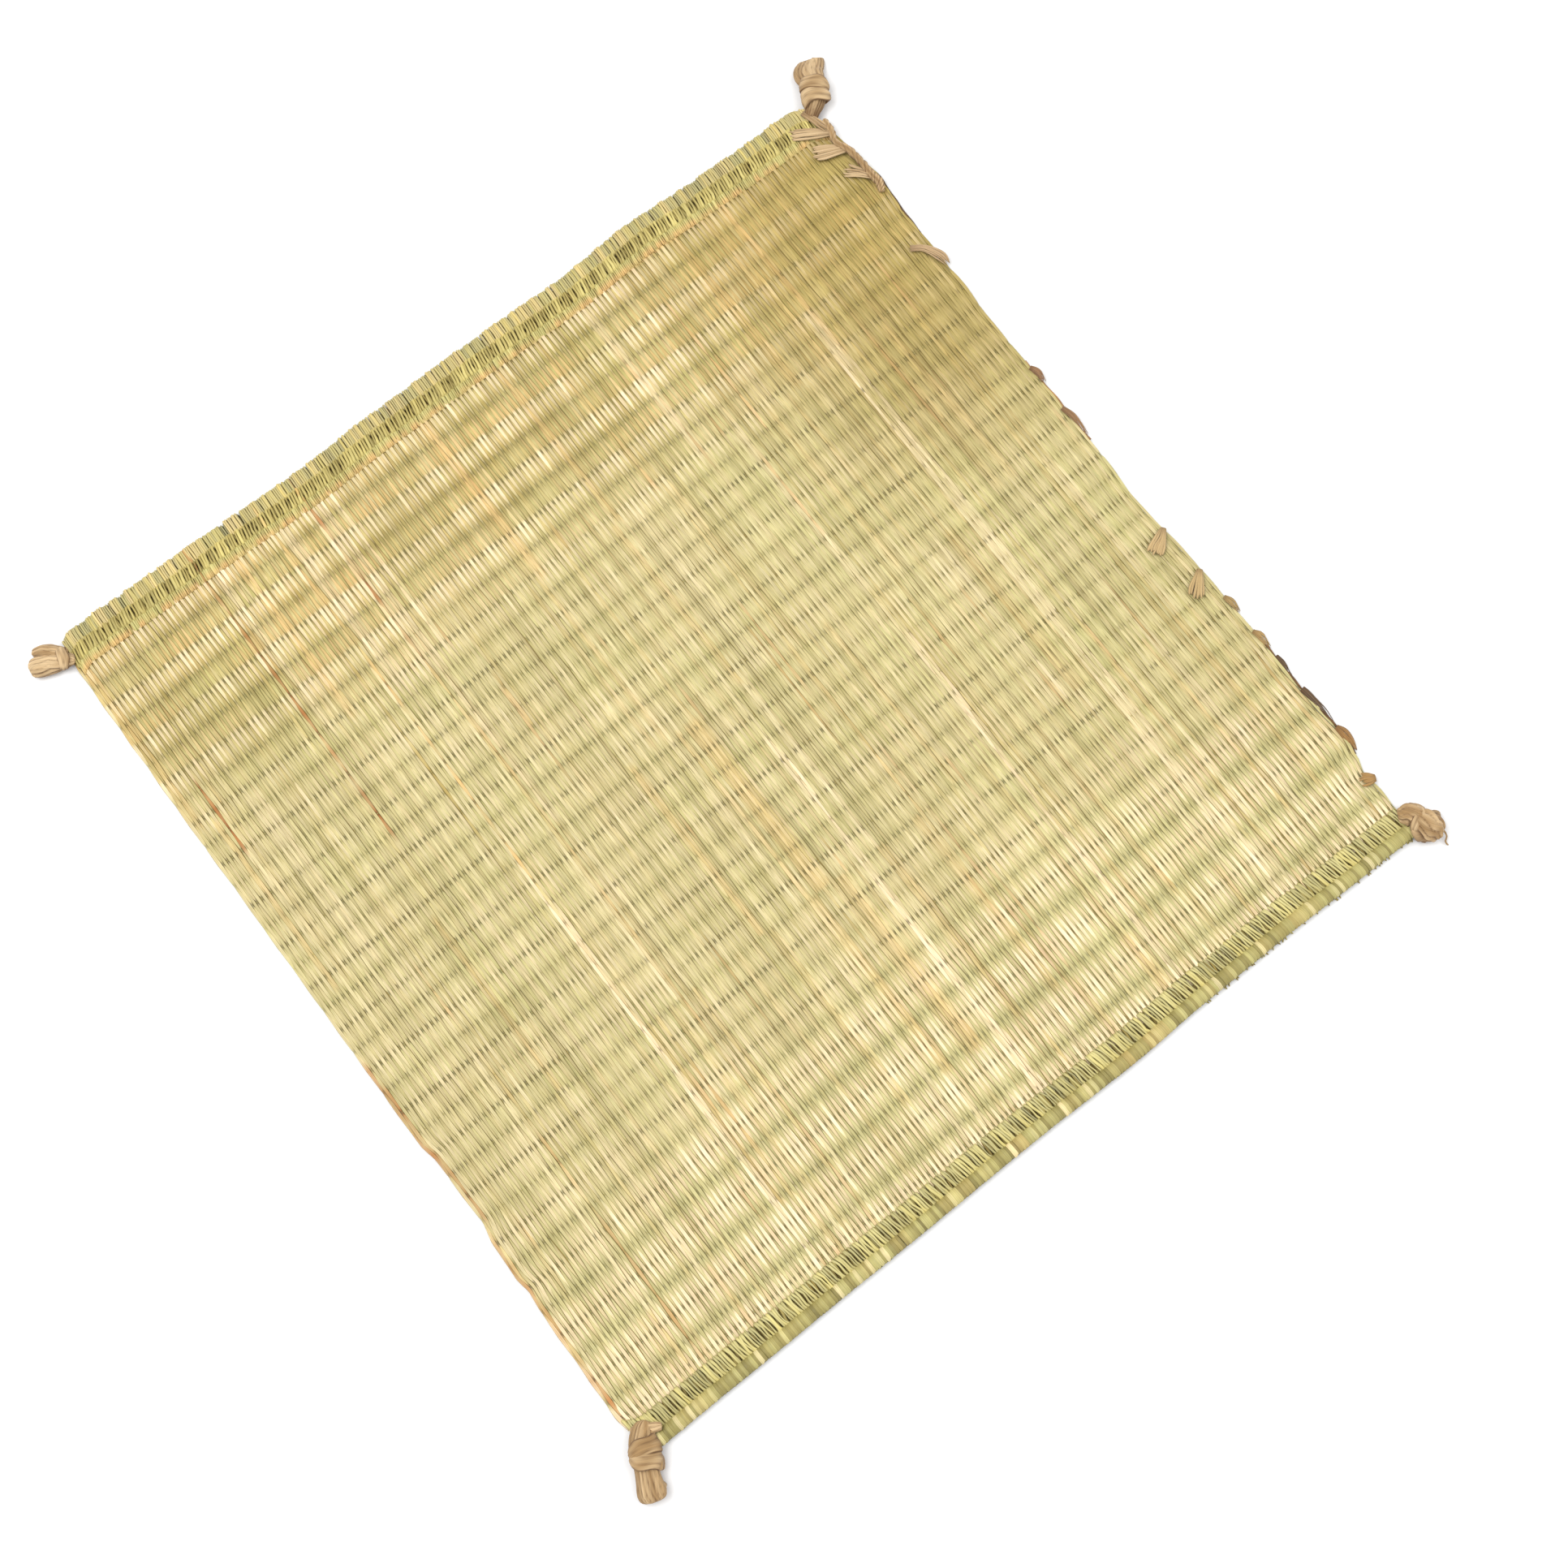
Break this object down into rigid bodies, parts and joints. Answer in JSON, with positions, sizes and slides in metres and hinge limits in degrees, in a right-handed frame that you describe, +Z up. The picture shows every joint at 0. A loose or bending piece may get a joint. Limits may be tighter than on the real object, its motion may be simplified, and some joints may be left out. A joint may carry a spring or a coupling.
{
  "type": "grass prayer mat",
  "caption": "Flat hand-woven mat of dried grass with turned-back bound edges, knotted jute corners and small jute ties along one side.",
  "frame": {"origin": "middle of the flat underside, on the surface that the mat lies on", "axes": "+Z up from the underside, X along the bound edges, Y along the grass stems, +Y towards the wider bound border"},
  "size_m": [0.659, 0.6828, 0.016],
  "materials": {
    "dried_grass": "split dried grass stems, softly glossy, straw to olive",
    "jute_fibre": "matt twisted jute fibre"
  },
  "bodies": {
    "root": {"mat": "dried_grass", "corner_knot_back_right": "jute_fibre", "corner_knot_back_left": "jute_fibre", "corner_knot_front_left": "jute_fibre", "corner_knot_front_right": "jute_fibre", "edge_cord": "jute_fibre", "edge_tie_01": "jute_fibre", "edge_tie_02": "jute_fibre", "edge_tie_03": "jute_fibre", "edge_tie_04": "jute_fibre", "edge_tie_05": "jute_fibre", "edge_tie_06": "jute_fibre", "edge_tie_07": "jute_fibre", "edge_tie_08": "jute_fibre", "edge_tie_09": "jute_fibre", "edge_tie_10": "jute_fibre", "edge_tie_11": "jute_fibre"}
  },
  "joints": []
}
